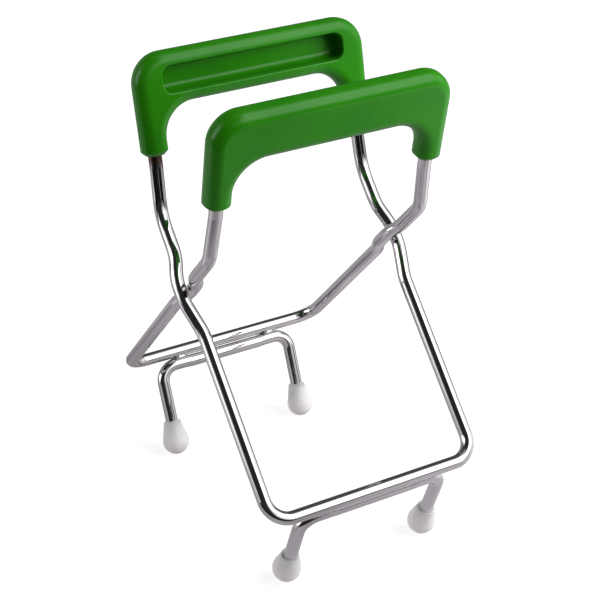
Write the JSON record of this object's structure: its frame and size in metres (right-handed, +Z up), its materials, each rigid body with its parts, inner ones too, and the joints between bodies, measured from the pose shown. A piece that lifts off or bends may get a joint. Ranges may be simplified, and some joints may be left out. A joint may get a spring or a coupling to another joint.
{
  "type": "jar lifter",
  "caption": "Scissor-action jar lifter: crossed chromed wire frames with moulded grips on top, jaw bars below and rubber-tipped wire feet.",
  "frame": {"origin": "on the ground, under the crossing of the two frames", "axes": "+Z up; +X along the grips and jaw bars, to the right; +Y from the front grip to the rear grip"},
  "size_m": [0.124, 0.1674, 0.2361],
  "materials": {
    "chromed_wire": "bright chrome plating on round steel wire",
    "weld": "plated resistance weld, slightly rough",
    "grip_plastic": "satin moulded green plastic",
    "foot_rubber": "matt white rubber"
  },
  "bodies": {
    "outer_half": {"outer_frame": "chromed_wire", "rear_grip": "grip_plastic", "front_foot_bracket": "chromed_wire", "front_left_weld": "weld", "front_right_weld": "weld", "front_left_foot_cap": "foot_rubber", "front_right_foot_cap": "foot_rubber"},
    "inner_half": {"inner_frame": "chromed_wire", "front_grip": "grip_plastic", "rear_foot_bracket": "chromed_wire", "rear_left_weld": "weld", "rear_right_weld": "weld", "rear_left_foot_cap": "foot_rubber", "rear_right_foot_cap": "foot_rubber"}
  },
  "joints": [
    {"name": "crossing_hinge", "type": "hinge", "parent": "outer_half", "child": "inner_half", "pos_m": [0, 0, 0.13366], "axis": [1, 0, 0], "range_deg": [-37.5, 20]}
  ]
}
